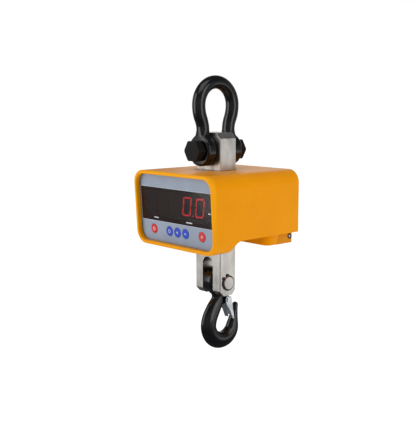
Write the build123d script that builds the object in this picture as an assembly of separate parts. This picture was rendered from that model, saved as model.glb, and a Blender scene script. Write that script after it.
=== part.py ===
"""Crane scale: an anchor shackle, a load cell block through a yellow housing, and a swinging eye hook.

Frame: origin at the inside top of the shackle bow, where a crane hook carries it.
+Z is up, +X is to the right along the display, +Y runs from the display to the back. Millimetres.
"""
import os
from math import atan, cos, degrees, radians, sin, sqrt, tan

from build123d import *

os.makedirs("parts", exist_ok=True)

# Heights of the load line
SHACKLE_PIN_Z = -96.3
BLOCK_TOP_Z = -68.3
BODY_TOP_Z = -127.3
TAIL_Z = -227.1
HEAD_Z = -246.3
HOOK_PIN_Z = -308.1
BLOCK_BOTTOM_Z = -328.8

# Shackle
BAR_R = 10.5
BOW_R = 36.0
LEG_Y = 28.0
BEND_R = 52.0
BEND_TURN = 22.62
SHOULDER_Z = BAR_R - BOW_R
KNEE_Z = SHOULDER_Z - 2 * BEND_R * sin(radians(BEND_TURN))
EAR_R = 24.5
EAR_IN = 17.9
EAR_OUT = 37.0
BLOCK_SWING_R = 37.5
LOCK_Y = 30.0
LOCK_TOP_Z = -105.5
BOLT_R = 12.5
HEX_AF = 31.0
HEX_T = 14.3
HEX_BREAK = 0.9

# Load cell block
BLOCK_X = 58.5
BLOCK_Y = 34.2
EDGE_BREAK = 1.3
TOP_BEVEL = 9.0
FOOT_BEVEL = 8.5
SLOT_W = 24.0
SLOT_TOP_Z = -266.9
HOOK_PIN_R = 10.7
HOOK_PIN_END = 32.4
GROOVE_R = HOOK_PIN_R - 0.8
POCKET = (44.0, 54.0, 9.0)
COVER_T = 1.2
COVER_LEDGE = 3.0

# Housing
BODY_HALF_X = 93.6
FRONT_Y = -94.7
REAR_Y = 94.4
CORNER_R = 21.0
WALL = 3.0
LEAN = degrees(atan(0.06))
NECK_Y = -48.7
NECK_R = 17.0
RIM_T = 7.6
SEAL_T = 1.2
SEAL_FLANGE = 4.2
SEAL_RISE = 0.4
REAR_SCREWS = [(side * x, z) for side in (-1, 1) for x, z in ((80.6, -141.2), (84.8, -216.7))]

# Front panel, measured down from the top front edge of the housing
OPENING = (176.0, 107.6)
OPENING_MID = -59.5
OPENING_R = 17.0
FILM_Y = 8.6
FILM_T = 0.5
PLATE_T = 2.0
PLATE_SIZE = (180.4, 111.0)
PLATE_R = 17.0
BAND_W = 173.8
BAND_TOP = -26.4
BAND_LOW = -80.8
KEY_V = -94.0
KEY_X = (-57.0, -19.0, 0.0, 19.0, 57.0)
KEY_R = 7.7
DIGIT_X = (-66.5, -37.0, -7.5, 22.0, 51.5)
DIGIT_V = -51.5
DIGIT_SIZE = (19.5, 30.0)
DIGIT_LEAN = 10.0
MODULE_SIZE = (28.8, 38.0)
SEGMENT_W = 2.6

# Battery compartment under the tail
BATTERY_HALF_X = 82.0
BATTERY_FRONT_Y = 34.5
BATTERY_REAR_Y = 93.4
BATTERY_LOW_Z = -245.6
SOCKET_AT = (86.6, -234.8)
SOCKET_R = 3.6
SOCKET_DEPTH = 7.0
SOCKET_BORE_R = 2.6
SOCKET_PIN_R = 1.2
CONTACT_X = (-12, -4, 4, 12)
FLOOR_T = 2.0
FLOOR_Z = TAIL_Z + 2.0

# Hook, measured from its pin
EYE_R = 21.0
EYE_HALF = 10.0
BOWL_Y = 13.3
BOWL_Z = -73.7
BOWL_R = 15.5
BOWL_DEPTH = 13.9
LATCH_Y = 20.5
LATCH_Z = -35.2
LATCH_PIN_R = 2.5


def rod_x(radius, x0, x1, y, z):
    """Round bar along X."""
    return Pos((x0 + x1) / 2, y, z) * Rot(0, 90, 0) * Cylinder(radius, x1 - x0)


def rod_y(radius, y0, y1, x, z):
    """Round bar along Y."""
    return Pos(x, (y0 + y1) / 2, z) * Rot(90, 0, 0) * Cylinder(radius, y1 - y0)


def block(x, y, z):
    """Box given by its three (low, high) ranges."""
    size = [high - low for low, high in (x, y, z)]
    middle = [(high + low) / 2 for low, high in (x, y, z)]
    return Pos(*middle) * Box(*size)


def slab_y(outline, y0, y1):
    """Outline drawn in X and Z, carried along Y from y0 to y1."""
    return extrude(Plane(origin=(0, y0, 0), x_dir=(1, 0, 0), z_dir=(0, -1, 0)) * outline, -(y1 - y0))


def slab_x(points, x0, x1):
    """Closed outline of (y, z) points, carried along X."""
    plane = Plane(origin=(x0, 0, 0), x_dir=(0, 1, 0), z_dir=(1, 0, 0))
    return extrude(plane * make_face(Polyline(*points, close=True)), x1 - x0)


def on_face(shape):
    """Move a piece drawn on the plane Y = 0, under Z = 0, on to the leaning front face."""
    return Pos(0, FRONT_Y, BODY_TOP_Z) * Rot(LEAN, 0, 0) * shape


def save(shape, node):
    solids = shape.solids()
    body = solids[0] if len(solids) == 1 else Compound(children=list(solids))
    export_step(body, f"parts/{node}.step")


# ---------------------------------------------------------------- shackle


def leg_line(side):
    """Centre line of one leg, from its eye up to the crown: straight, then an S bend of two equal arcs."""
    half = radians(BEND_TURN / 2)
    drop = BEND_R * sin(half)
    shift = BEND_R * (1 - cos(half))
    eye_z = SHACKLE_PIN_Z + 4
    middle = (0, side * (LEG_Y + BOW_R) / 2, (SHOULDER_Z + KNEE_Z) / 2)
    knee = (0, side * LEG_Y, KNEE_Z)
    shoulder = (0, side * BOW_R, SHOULDER_Z)
    return [
        Line((0, side * LEG_Y, eye_z), knee),
        ThreePointArc(knee, (0, side * (LEG_Y + shift), KNEE_Z + drop), middle),
        ThreePointArc(middle, (0, side * (BOW_R - shift), SHOULDER_Z - drop), shoulder),
    ]


def shackle_bow():
    """Bow of round bar with an eye on each leg, spot-faced for the bolt head and nut."""
    crown = ThreePointArc((0, BOW_R, SHOULDER_Z), (0, 0, BAR_R), (0, -BOW_R, SHOULDER_Z))
    line = Wire([piece.edge() for piece in leg_line(1) + [crown] + leg_line(-1)])
    bow = sweep(Plane(origin=line @ 0, z_dir=line % 0) * Circle(BAR_R), path=line)
    for side in (1, -1):
        y0, y1 = sorted((side * EAR_IN, side * EAR_OUT))
        eye = rod_y(EAR_R, y0, y1, 0, SHACKLE_PIN_Z)
        bow += fillet(eye.edges().filter_by(GeomType.CIRCLE), 4.5)
    for side in (1, -1):
        y0, y1 = sorted((side * EAR_OUT, side * (EAR_OUT + 10)))
        bow -= rod_y(19.0, y0, y1, 0, SHACKLE_PIN_Z)
    bow -= rod_y(BLOCK_SWING_R, -EAR_IN, EAR_IN, 0, SHACKLE_PIN_Z)
    bow -= rod_y(BOLT_R + 0.05, -60, 60, 0, SHACKLE_PIN_Z)
    return bow - lock_hole()


def lock_hole():
    """Blind hole from under the front ear into the bolt."""
    low = SHACKLE_PIN_Z - EAR_R - 3
    return Pos(0, -LOCK_Y, (low + LOCK_TOP_Z) / 2) * Cylinder(2.0, LOCK_TOP_Z - low)


def hexagon(y0, y1):
    """Hexagon prism along Y whose corners are broken by a turned chamfer on the outer end."""
    prism = slab_y(RegularPolygon(HEX_AF / 2, 6, major_radius=False, rotation=0), y0, y1)
    prism = Pos(0, 0, SHACKLE_PIN_Z) * prism
    outer = y0 if abs(y0) > abs(y1) else y1
    cone_y = (y0 + y1) / 2
    turned = Pos(0, cone_y, SHACKLE_PIN_Z) * Rot(90, 0, 0) * Cylinder(HEX_AF / sqrt(3), y1 - y0)
    rims = turned.edges().filter_by(GeomType.CIRCLE)
    outer_rim = rims.filter_by(lambda edge: abs(edge.center().Y - outer) < 0.01)
    return prism & chamfer(outer_rim, HEX_BREAK)


def shackle_bolt():
    bolt = hexagon(-EAR_OUT - HEX_T, -EAR_OUT) + rod_y(BOLT_R, -EAR_OUT, EAR_OUT + HEX_T, 0, SHACKLE_PIN_Z)
    bolt = chamfer(bolt.edges().filter_by(GeomType.CIRCLE).sort_by(Axis.Y)[-1], 1.5)
    return bolt - lock_hole()


def shackle_nut():
    nut = hexagon(EAR_OUT, EAR_OUT + HEX_T)
    return nut - rod_y(BOLT_R, EAR_OUT - 1, EAR_OUT + HEX_T + 1, 0, SHACKLE_PIN_Z)


def bolt_lock_pin():
    """Ring-headed pin driven up through the front ear into the bolt."""
    ear_low = SHACKLE_PIN_Z - EAR_R
    pin = Pos(0, -LOCK_Y, (ear_low + LOCK_TOP_Z) / 2) * Cylinder(1.95, LOCK_TOP_Z - ear_low)
    pin += Pos(0, -LOCK_Y, ear_low - 0.6) * Cylinder(0.8, 1.4)
    return pin + Pos(0, -LOCK_Y, ear_low - 2.9) * Rot(90, 0, 0) * Torus(1.9, 0.75)


# ---------------------------------------------------------------- load cell


def load_cell():
    cell = block((-BLOCK_X / 2, BLOCK_X / 2), (-BLOCK_Y / 2, BLOCK_Y / 2), (BLOCK_BOTTOM_Z, BLOCK_TOP_Z))
    cell = chamfer(cell.edges().filter_by(Axis.Y).group_by(Axis.Z)[-1], TOP_BEVEL)
    cell = chamfer(cell.edges().filter_by(Axis.X).group_by(Axis.Z)[0], FOOT_BEVEL)
    cell = chamfer(cell.edges().filter_by(Axis.Z), EDGE_BREAK)
    half = SLOT_W / 2
    cell -= block((-half, half), (-30, 30), (BLOCK_BOTTOM_Z - 5, SLOT_TOP_Z - half))
    cell -= rod_y(half, -30, 30, 0, SLOT_TOP_Z - half)
    cell -= rod_y(BOLT_R + 0.06, -30, 30, 0, SHACKLE_PIN_Z)
    cell -= rod_x(HOOK_PIN_R, -40, 40, 0, HOOK_PIN_Z)
    width, height, depth = POCKET
    mid = (BODY_TOP_Z + TAIL_Z) / 2
    for sign in (1, -1):
        wall = sign * BLOCK_Y / 2
        for reach, ledge in ((depth, 0), (COVER_T, COVER_LEDGE)):
            half_x, half_z = width / 2 + ledge, height / 2 + ledge
            low, high = sorted((wall - sign * reach, wall + sign * 5))
            cell -= block((-half_x, half_x), (low, high), (mid - half_z, mid + half_z))
    return cell


def gauge_covers():
    """Thin plates that seal the strain gauge pockets, front and back."""
    width, height, _ = POCKET
    mid = (BODY_TOP_Z + TAIL_Z) / 2
    half_x = width / 2 + COVER_LEDGE - 0.1
    half_z = height / 2 + COVER_LEDGE - 0.1
    plates = []
    for y0 in (BLOCK_Y / 2 - COVER_T, -BLOCK_Y / 2):
        plates.append(block((-half_x, half_x), (y0, y0 + COVER_T), (mid - half_z, mid + half_z)))
    return Compound(children=plates)


def strain_gauges():
    """Foil gauges bonded to the thin web at the bottom of each pocket."""
    mid = (BODY_TOP_Z + TAIL_Z) / 2
    floor_y = BLOCK_Y / 2 - POCKET[2]
    foils = []
    for sign in (1, -1):
        low, high = sorted((sign * floor_y, sign * (floor_y + 0.4)))
        for x in (-11, 11):
            foils.append(block((x - 4, x + 4), (low, high), (mid - 6, mid + 6)))
    return Compound(children=foils)


def hook_pin():
    pin = rod_x(HOOK_PIN_R, -HOOK_PIN_END, HOOK_PIN_END, 0, HOOK_PIN_Z)
    pin = chamfer(pin.edges().filter_by(GeomType.CIRCLE), 1.0)
    for sign in (1, -1):
        inner = sign * (BLOCK_X / 2)
        low, high = sorted((inner, inner + sign * 1.3))
        pin -= rod_x(HOOK_PIN_R + 2, low, high, 0, HOOK_PIN_Z) - rod_x(GROOVE_R, low, high, 0, HOOK_PIN_Z)
    return pin


def circlip(sign):
    """External retaining ring with a gap and two lugs at the upper front."""
    inner = sign * BLOCK_X / 2
    low, high = sorted((inner, inner + sign * 1.2))
    ring = rod_x(HOOK_PIN_R + 1.9, low, high, 0, 0) - rod_x(GROOVE_R, low, high, 0, 0)
    ring -= Pos(inner, 0, 12) * Box(6, 5.5, 12)
    for y in (-4.6, 4.6):
        lug = rod_x(2.9, low, high, y, 11.6) - rod_x(1.0, low - 1, high + 1, y, 11.6)
        ring += lug - rod_x(GROOVE_R, low - 1, high + 1, 0, 0)
    return Pos(0, 0, HOOK_PIN_Z) * Rot(28, 0, 0) * ring


def hook_pin_circlips():
    return Compound(children=[circlip(1), circlip(-1)])


# ---------------------------------------------------------------- housing


def body_outline(inset):
    width = 2 * (BODY_HALF_X - inset)
    height = BODY_TOP_Z - HEAD_Z - 2 * inset
    return Pos(0, (BODY_TOP_Z + HEAD_Z) / 2) * RectangleRounded(width, height, CORNER_R - inset)


def below_tail(grow):
    """Space under the tail and behind the head, with a rounded inner corner."""
    space = block((-120, 120), (NECK_Y - grow, 130), (HEAD_Z - 20, TAIL_Z + grow))
    corner = space.edges().filter_by(Axis.X).sort_by(lambda e: e.center().Y - e.center().Z)[0]
    return fillet(corner, NECK_R + grow)


def panel_outline(shrink):
    width, height = OPENING
    return Pos(0, OPENING_MID) * RectangleRounded(width - 2 * shrink, height - 2 * shrink, OPENING_R - shrink)


def block_hole(gap, z0, z1):
    half_x = BLOCK_X / 2 + gap
    half_y = BLOCK_Y / 2 + gap
    return block((-half_x, half_x), (-half_y, half_y), (z0, z1))


def housing_shell():
    """Die-cast shell: a rounded tube along Y with a front rim, open below the tail and at the back."""
    shell = slab_y(body_outline(0), FRONT_Y - 8, REAR_Y)
    shell -= on_face(block((-120, 120), (-40, 0), (-160, 30)))
    rim = shell.faces().sort_by(Axis.Y)[0].outer_wire().edges()
    shell = fillet(rim, 3.0)
    inside = slab_y(body_outline(WALL), FRONT_Y - 20, REAR_Y + 5)
    inside &= on_face(block((-120, 120), (RIM_T, 230), (-170, 60)))
    shell -= inside
    shell -= on_face(slab_y(panel_outline(0), -5, RIM_T + 5))
    rim_face = shell.faces().filter_by(lambda f: len(f.inner_wires()) == 1).sort_by(lambda f: f.center().Y)[0]
    lip = rim_face.inner_wires()[0].edges()
    shell = fillet(lip, 1.8)
    shell -= below_tail(0)
    shell -= block_hole(SEAL_T, BODY_TOP_Z - 6, BODY_TOP_Z + 2)
    inner_room = slab_y(body_outline(0.5), 0, REAR_Y)
    for x, z in REAR_SCREWS:
        shell += rod_y(8.0, REAR_Y - 24, REAR_Y - 6.4, x, z) & inner_room
        shell -= rod_y(2.0, REAR_Y - 20, REAR_Y - 6.4, x, z)
    return shell


def base_floor():
    """Bent sheet that closes the housing underneath: level under the tail, curved down behind the head."""
    sheet = below_tail(FLOOR_T) - below_tail(0)
    sheet &= block((-95, 95), (-70, REAR_Y - 6.5), (HEAD_Z, TAIL_Z + 6))
    sheet &= slab_y(body_outline(WALL + 0.05), FRONT_Y, REAR_Y)
    return sheet - block_hole(SEAL_T, TAIL_Z - 6, TAIL_Z + 6)


def rear_cover():
    cover = slab_y(body_outline(WALL + 0.1), REAR_Y - 6.4, REAR_Y - 4.4)
    cover -= block((-120, 120), (0, 130), (HEAD_Z - 10, TAIL_Z))
    for x, z in REAR_SCREWS:
        cover -= rod_y(2.0, REAR_Y - 8, REAR_Y - 3, x, z)
    return cover


def rear_cover_screws():
    screws = []
    for x, z in REAR_SCREWS:
        head = rod_y(3.6, REAR_Y - 4.4, REAR_Y - 2.2, x, z)
        head = fillet(head.edges().filter_by(GeomType.CIRCLE).sort_by(Axis.Y)[-1], 1.2)
        head -= block((x - 0.4, x + 0.4), (REAR_Y - 3.2, REAR_Y), (z - 2, z + 2))
        head -= block((x - 2, x + 2), (REAR_Y - 3.2, REAR_Y), (z - 0.4, z + 0.4))
        screws.append(head + rod_y(2.0, REAR_Y - 16, REAR_Y - 4.4, x, z))
    return Compound(children=screws)


def neck_seal(z0, z1, flange_z0, flange_z1):
    """Rubber collar between the block and the edge of its hole, with a flange inside the housing."""
    seal = block_hole(SEAL_T, z0, z1)
    seal += block_hole(SEAL_FLANGE, flange_z0, flange_z1)
    return seal - block_hole(0, z0 - 20, z1 + 20)


def top_seal():
    inside = BODY_TOP_Z - WALL
    return neck_seal(inside - 1, BODY_TOP_Z + SEAL_RISE, inside - 2, inside)


def bottom_seal():
    return neck_seal(TAIL_Z - SEAL_RISE, FLOOR_Z + 1, FLOOR_Z, FLOOR_Z + 2)


def mounting_brackets():
    """Steel angles that hang the housing from the upper end of the block."""
    angles = []
    for sign in (1, -1):
        x0, x1 = sorted((sign * BLOCK_X / 2, sign * (BLOCK_X / 2 + 4)))
        top = BODY_TOP_Z - WALL
        angle = block((x0, x1), (-13, 13), (top - 26, top - 5))
        x0, x1 = sorted((sign * (BLOCK_X / 2), sign * (BLOCK_X / 2 + 8.3)))
        angle += block((x0, x1), (-13, 13), (top - 9, top - 5))
        x0, x1 = sorted((sign * (BLOCK_X / 2 + 4.3), sign * (BLOCK_X / 2 + 8.3)))
        angle += block((x0, x1), (-13, 13), (top - 9, top))
        x0, x1 = sorted((sign * (BLOCK_X / 2 + 4.3), sign * (BLOCK_X / 2 + 30)))
        angle += block((x0, x1), (-13, 13), (top - 4, top))
        for y in (-7, 7):
            x0, x1 = sorted((sign * (BLOCK_X / 2 - 1), sign * (BLOCK_X / 2 + 5)))
            angle -= rod_x(2.5, x0, x1, y, top - 18)
        angles.append(angle)
    return Compound(children=angles)


def bracket_screws():
    screws = []
    z = BODY_TOP_Z - WALL - 18
    for sign in (1, -1):
        for y in (-7, 7):
            x0, x1 = sorted((sign * (BLOCK_X / 2 + 4), sign * (BLOCK_X / 2 + 8)))
            head = rod_x(4.2, x0, x1, y, z)
            end = sign * (BLOCK_X / 2 + 8)
            head -= Pos(end, y, z) * Rot(0, 90, 0) * extrude(RegularPolygon(2.0, 6), 2.4, both=True)
            x0, x1 = sorted((sign * BLOCK_X / 2, sign * (BLOCK_X / 2 + 4)))
            screws.append(head + rod_x(2.5, x0, x1, y, z))
    return Compound(children=screws)


# ---------------------------------------------------------------- front panel


def keys_at(radius, y0, y1):
    return [rod_y(radius, y0, y1, x, KEY_V) for x in KEY_X]


def band(shrink, y0, y1):
    half = BAND_W / 2 - shrink
    return block((-half, half), (y0, y1), (BAND_LOW + shrink, BAND_TOP - shrink))


def overlay_film():
    film = slab_y(panel_outline(0.15), FILM_Y, FILM_Y + FILM_T)
    film -= band(0, FILM_Y - 1, FILM_Y + 2)
    for hole in keys_at(KEY_R + 0.35, FILM_Y - 1, FILM_Y + 2):
        film -= hole
    return on_face(film)


def front_plate():
    y0 = FILM_Y + FILM_T
    plate = slab_y(Pos(0, OPENING_MID) * RectangleRounded(*PLATE_SIZE, PLATE_R), y0, y0 + PLATE_T)
    plate -= band(0, y0 - 1, y0 + 4)
    for hole in keys_at(KEY_R + 0.35, y0 - 1, y0 + 4):
        plate -= hole
    return on_face(plate)


def panel_gasket():
    """Foam ring squeezed between the back of the rim and the front plate."""
    y0 = RIM_T
    ring = slab_y(Pos(0, OPENING_MID) * RectangleRounded(*PLATE_SIZE, PLATE_R), y0, FILM_Y + FILM_T)
    return on_face(ring - slab_y(panel_outline(0.0), y0 - 1, y0 + 5))


def display_window():
    return on_face(band(0.15, FILM_Y, FILM_Y + 2.2))


def segment(x, v, length, upright):
    """One bar of a digit, pointed at both ends and sheared so that the digit's top leans to the right."""
    half = length / 2
    tip = SEGMENT_W / 2
    along = [-half, tip - half, half - tip, half, half - tip, tip - half]
    across = [0, tip, tip, 0, -tip, -tip]
    points = []
    for a, c in zip(along, across):
        u, w = (c, a) if upright else (a, c)
        points.append((x + u + (v + w) * tan(radians(DIGIT_LEAN)), DIGIT_V + v + w))
    return make_face(Polyline(*points, close=True))


def led_digit(x):
    """Seven-segment module: a black box with seven slots and a point."""
    y0 = FILM_Y + 3.0
    half_x, half_v = MODULE_SIZE[0] / 2, MODULE_SIZE[1] / 2
    body = block((x - half_x, x + half_x), (y0, y0 + 10), (DIGIT_V - half_v, DIGIT_V + half_v))
    half_w = (DIGIT_SIZE[0] - SEGMENT_W) / 2
    half_h = (DIGIT_SIZE[1] - SEGMENT_W) / 2
    bars = [segment(x, v, 2 * half_w - 0.6, False) for v in (-half_h, 0, half_h)]
    for u in (-half_w, half_w):
        bars += [segment(x + u, v, half_h - 0.6, True) for v in (-half_h / 2, half_h / 2)]
    for bar in bars:
        body -= slab_y(bar, y0 - 1, y0 + 1.0)
    body -= rod_y(1.3, y0 - 1, y0 + 1.0, x + half_x - 1.7, DIGIT_V - half_h)
    return on_face(body)


def display_board():
    board = block((-82.5, 82.5), (FILM_Y + 13.0, FILM_Y + 14.6), (DIGIT_V - 25, DIGIT_V + 24))
    return on_face(board)


def status_led():
    y0 = FILM_Y + 3.0
    lamp = rod_y(1.5, y0, y0 + 10, -59.5, -74.8)
    return on_face(fillet(lamp.edges().filter_by(GeomType.CIRCLE).sort_by(Axis.Y)[0], 1.2))


def key_cap(x):
    """Button cap with a retaining flange behind the plate and a stem to its switch."""
    cap = rod_y(KEY_R, FILM_Y - 0.6, FILM_Y + 2.9, x, KEY_V)
    cap = fillet(cap.edges().filter_by(GeomType.CIRCLE).sort_by(Axis.Y)[0], 0.5)
    cap += rod_y(KEY_R + 1.2, FILM_Y + 2.75, FILM_Y + 3.6, x, KEY_V)
    cap += rod_y(2.0, FILM_Y + 3.6, FILM_Y + 6.0, x, KEY_V)
    return on_face(cap)


def tact_switches():
    switches = []
    for x in KEY_X:
        y0 = FILM_Y + 6.6
        case = block((x - 3, x + 3), (y0 + 0.6, y0 + 4.1), (KEY_V - 3, KEY_V + 3))
        switches.append(on_face(case + rod_y(1.7, y0, y0 + 1, x, KEY_V)))
    return Compound(children=switches)


def key_board():
    y0 = FILM_Y + 10.7
    return on_face(block((-73, 73), (y0, y0 + 1.6), (KEY_V - 9, KEY_V + 9)))


def board_spacers():
    """Brass posts that hold both boards off the back of the front plate."""
    y0 = FILM_Y + FILM_T + PLATE_T
    posts = []
    for side in (-1, 1):
        posts.append(on_face(rod_y(2.4, y0, FILM_Y + 13.0, side * 40, BAND_TOP + 3.5)))
        posts.append(on_face(rod_y(2.4, y0, FILM_Y + 10.7, side * 69, KEY_V)))
    return Compound(children=posts)


# ---------------------------------------------------------------- electronics and battery


def main_board():
    z = FLOOR_Z + 12
    return block((-55, 55), (28, 82), (z, z + 1.6))


def board_parts():
    """Converter chip, capacitors and sockets soldered to the main board."""
    z = FLOOR_Z + 13.6
    parts = [
        block((-20, 8), (44, 58), (z, z + 2.5)),
        block((22, 42), (34, 42), (z, z + 9)),
        block((-48, -30), (34, 46), (z, z + 6)),
    ]
    for x in (20, 34):
        parts.append(Pos(x, 66, z + 8) * Cylinder(5, 16))
    return Compound(children=parts)


def main_board_posts():
    posts = []
    for x in (-50, 50):
        for y in (33, 77):
            posts.append(Pos(x, y, FLOOR_Z + 6) * Cylinder(2.5, 12))
    return Compound(children=posts)


def signal_cable():
    """Screened lead from the block to the main board's socket."""
    z = FLOOR_Z + 18.6
    start_y = BLOCK_Y / 2 + 0.1
    points = [
        (0, start_y, z + 20), (2, start_y + 9, z + 20), (14, start_y + 12, z + 16),
        (24, 31, z + 12), (32, 38, z + 13), (32, 38, z + 4.05),
    ]
    path = FilletPolyline(*points, radius=4.0)
    plane = Plane(origin=path @ 0, z_dir=path % 0)
    return sweep(plane * Circle(1.6), path=path)


def battery_outline():
    width = 2 * BATTERY_HALF_X
    depth = BATTERY_REAR_Y - BATTERY_FRONT_Y
    outline = Rectangle(width, depth)
    corners = outline.vertices().sort_by(Axis.Y)
    outline = fillet(corners[:2], 12.0)
    outline = fillet(outline.vertices().sort_by(Axis.Y)[-2:], 2.5)
    return Pos(0, (BATTERY_FRONT_Y + BATTERY_REAR_Y) / 2) * outline


def battery_split(gap):
    """Everything behind the sloping joint between the nose and the pack."""
    low = BATTERY_LOW_Z - 5
    high = TAIL_Z + 8
    return slab_x([(54.5 + gap, low), (67.0 + gap, high), (200, high), (200, low)], -120, 120)


def battery_solid(z0, z1):
    return Pos(0, 0, z0) * extrude(battery_outline(), z1 - z0)


def rail(x, half_stem, half_foot, y0, y1, slack):
    """T section under the floor that carries the pack."""
    z = FLOOR_Z - FLOOR_T
    stem = block((x - half_stem, x + half_stem), (y0, y1), (z - 4 - slack, z))
    return stem + block((x - half_foot, x + half_foot), (y0, y1), (z - 6 - slack, z - 4 + slack))


def battery_nose():
    """Fixed front end of the battery compartment, with the two pack rails behind it."""
    nose = battery_solid(BATTERY_LOW_Z, FLOOR_Z - FLOOR_T) - battery_split(0)
    nose = fillet(nose.faces().sort_by(Axis.Z)[0].edges().group_by(Axis.Y)[0], 2.0)
    cavity = block((-76, 76), (38, 51), (BATTERY_LOW_Z + 2.5, FLOOR_Z - FLOOR_T))
    nose -= cavity
    for x in CONTACT_X:
        nose -= rod_y(1.0, 46, 60, x, BATTERY_LOW_Z + 7)
    return nose


def battery_rails():
    rails = [rail(x, 2.0, 4.5, 68.5, 89, 0) for x in (-58, 58)]
    return Compound(children=rails)


def battery_pack():
    pack = battery_solid(BATTERY_LOW_Z, FLOOR_Z - FLOOR_T - 0.4) & battery_split(0.4)
    for x in (-58, 58):
        slot = rail(x, 2.4, 4.9, 50, 90, 0.4)
        pack -= slot
    pack -= block((-50, 50), (66, 88), (BATTERY_LOW_Z + 2.5, FLOOR_Z - FLOOR_T - 3))
    return pack - rod_x(SOCKET_R, BATTERY_HALF_X - SOCKET_DEPTH, BATTERY_HALF_X + 3, *SOCKET_AT)


def battery_cells():
    cells = []
    for x in (-33.2, 0, 33.2):
        cell = block((x - 16, x + 16), (67, 87), (BATTERY_LOW_Z + 2.5, BATTERY_LOW_Z + 14))
        cells.append(fillet(cell.edges().filter_by(Axis.X), 3.0))
    return Compound(children=cells)


def charge_socket():
    """Round power socket in the end of the pack: a sleeve with a collar outside and a pin in the middle."""
    x0 = BATTERY_HALF_X - SOCKET_DEPTH
    body = rod_x(SOCKET_R, x0, BATTERY_HALF_X, *SOCKET_AT)
    body += rod_x(SOCKET_R + 0.7, BATTERY_HALF_X, BATTERY_HALF_X + 1.2, *SOCKET_AT)
    body -= rod_x(SOCKET_BORE_R, x0 + 1.5, BATTERY_HALF_X + 3, *SOCKET_AT)
    return body + rod_x(SOCKET_PIN_R, x0, BATTERY_HALF_X + 0.2, *SOCKET_AT)


def battery_contacts():
    """Sprung plungers in the nose that meet the pack."""
    pins = []
    for x in CONTACT_X:
        pins.append(rod_y(1.0, 46, 54.8, x, BATTERY_LOW_Z + 7))
    return Compound(children=pins)


# ---------------------------------------------------------------- hook


def hook_station(y, z, angle, half_depth, half_width):
    """Elliptical section across the centre line; angle is the line's direction in the YZ plane."""
    run = Vector(0, cos(radians(angle)), sin(radians(angle)))
    plane = Plane(origin=(0, y, z), x_dir=(1, 0, 0), z_dir=run)
    return plane * Ellipse(half_width, half_depth)


def bowl_station(turn, half_depth, half_width):
    """Section at an angle round the bowl; 180 is the back of the hook, 270 its bottom."""
    reach = BOWL_R + half_depth
    y = BOWL_Y + reach * cos(radians(turn))
    z = BOWL_Z + reach * sin(radians(turn))
    return hook_station(y, z, turn + 90, half_depth, half_width)


def hook():
    """Forged eye hook: an eye, a neck that swells into the bowl, and a tapering tip."""
    neck = [
        hook_station(3.0, -12.0, -84, 10.5, 9.0),
        hook_station(5.0, -27.0, -100, 10.0, 9.0),
        hook_station(-1.8, -42.0, -117, 12.6, 10.0),
        hook_station(-12.0, -58.5, -115, 14.0, 10.8),
        bowl_station(180, BOWL_DEPTH, 11.0),
    ]
    tip = [
        bowl_station(290, BOWL_DEPTH, 11.0),
        bowl_station(308, 13.5, 10.6),
        bowl_station(326, 12.7, 9.8),
        bowl_station(344, 11.2, 8.8),
        hook_station(40.8, -72.3, 82, 8.7, 7.5),
        hook_station(42.3, -64.3, 79, 6.7, 6.5),
        hook_station(43.8, -56.3, 80, 5.3, 5.7),
        hook_station(45.0, -48.6, 83, 4.6, 5.0),
    ]
    bowl = revolve(bowl_station(180, BOWL_DEPTH, 11.0), Axis((0, BOWL_Y, BOWL_Z), (1, 0, 0)), 110)
    shape = bowl + loft(neck) + loft(tip)
    shape += Pos(0, 45.0, -48.8) * Sphere(4.7)
    eye = rod_x(EYE_R, -EYE_HALF, EYE_HALF, 0, 0)
    shape += fillet(eye.edges().filter_by(GeomType.CIRCLE), 4.0)
    lug = rod_x(6.0, -4, 4, LATCH_Y, LATCH_Z)
    lug += slab_x([(LATCH_Y, LATCH_Z + 6), (LATCH_Y, LATCH_Z - 6), (8, LATCH_Z - 8), (8, LATCH_Z + 8)], -4, 4)
    shape += lug
    shape -= rod_x(HOOK_PIN_R + 0.06, -20, 20, 0, 0)
    shape -= rod_x(LATCH_PIN_R, -20, 20, LATCH_Y, LATCH_Z)
    return Pos(0, 0, HOOK_PIN_Z) * shape


def latch_pin():
    pin = rod_x(LATCH_PIN_R, -10.2, 10.2, LATCH_Y, LATCH_Z)
    for sign in (1, -1):
        x0, x1 = sorted((sign * 10.2, sign * 11.6))
        head = rod_x(3.8, x0, x1, LATCH_Y, LATCH_Z)
        pin += head
    return Pos(0, 0, HOOK_PIN_Z) * pin


def hook_latch():
    """Folded channel: two flanges on the pin and a web that closes the throat from outside."""
    outline = [
        (26.6, LATCH_Z + 5.0), (33.6, -68.2), (30.8, -68.6), (25.0, -55.0),
        (15.0, LATCH_Z - 4.5), (14.4, LATCH_Z + 1.5), (17.0, LATCH_Z + 5.8),
    ]
    channel = slab_x(outline, -9.8, 9.8)
    inner = [
        (24.9, LATCH_Z + 12.0), (32.2, -69.5), (24.0, -80.0), (5.0, LATCH_Z - 20), (5.0, LATCH_Z + 12),
    ]
    channel -= slab_x(inner, -8.3, 8.3)
    channel -= slab_x([(20, -63.5), (40, -63.5), (40, -80), (20, -80)], -4.2, 4.2)
    for sign in (1, -1):
        x0, x1 = sorted((sign * 7, sign * 12))
        channel -= rod_x(LATCH_PIN_R + 0.06, x0, x1, LATCH_Y, LATCH_Z)
    return Pos(0, 0, HOOK_PIN_Z) * channel


def latch_spring():
    """Torsion spring wound round the pin on both sides of the lug."""
    coils = []
    for x in (-7.0, 4.6):
        coil = Helix(pitch=1.1, height=2.4, radius=3.4)
        wire = sweep(Plane(origin=coil @ 0, z_dir=coil % 0) * Circle(0.45), path=coil)
        coils.append(Pos(x, LATCH_Y, LATCH_Z) * Rot(0, 90, 0) * wire)
    return Pos(0, 0, HOOK_PIN_Z) * Compound(children=coils)


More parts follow.
